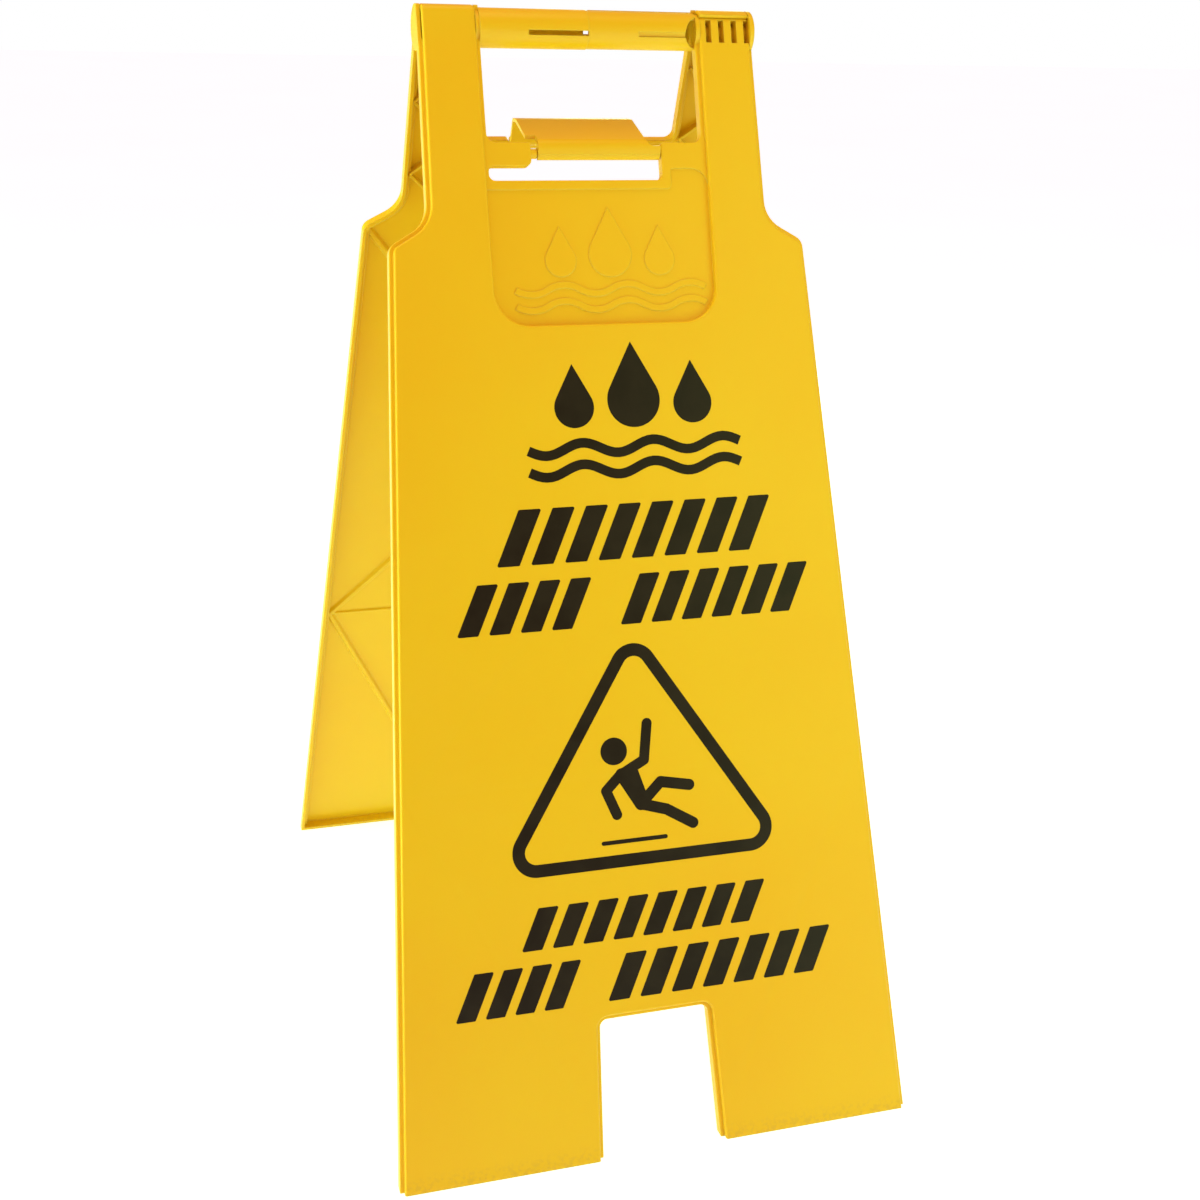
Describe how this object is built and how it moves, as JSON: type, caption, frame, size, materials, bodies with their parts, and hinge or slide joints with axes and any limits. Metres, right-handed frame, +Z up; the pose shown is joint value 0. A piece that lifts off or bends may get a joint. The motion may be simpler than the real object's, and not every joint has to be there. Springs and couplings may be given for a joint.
{
  "type": "folding wet floor sign",
  "caption": "Folding A-frame floor warning sign with a carrying handle at the hinge, a locking spreader plate and cut-out feet.",
  "frame": {"origin": "on the floor, under the hinge axis, midway between the two panels", "axes": "+X along the hinge and handle, +Z up, -Y towards the front panel, +Y towards the back panel"},
  "size_m": [0.3046, 0.4348, 0.6105],
  "materials": {
    "panel_plastic": "semi-gloss moulded polypropylene",
    "lock_plastic": "semi-gloss moulded polypropylene",
    "printed_ink": "satin screen-printed ink"
  },
  "bodies": {
    "front_panel": {"front_panel": "panel_plastic"},
    "back_panel": {"back_panel": "panel_plastic"},
    "lock_plate": {"lock_plate": "lock_plastic"}
  },
  "joints": [
    {"name": "fold", "type": "hinge", "parent": "front_panel", "child": "back_panel", "pos_m": [0, 0, 0.59829], "axis": [-1, 0, 0], "range_deg": [0, 38.3]},
    {"name": "lock_swing", "type": "hinge", "parent": "front_panel", "child": "lock_plate", "pos_m": [0, -0.02547, 0.53367], "axis": [1, 0, 0], "range_deg": [0, 53.7]}
  ],
  "couplings": [
    {"joint": "lock_swing", "follows": "fold", "ratio": 1.4}
  ]
}
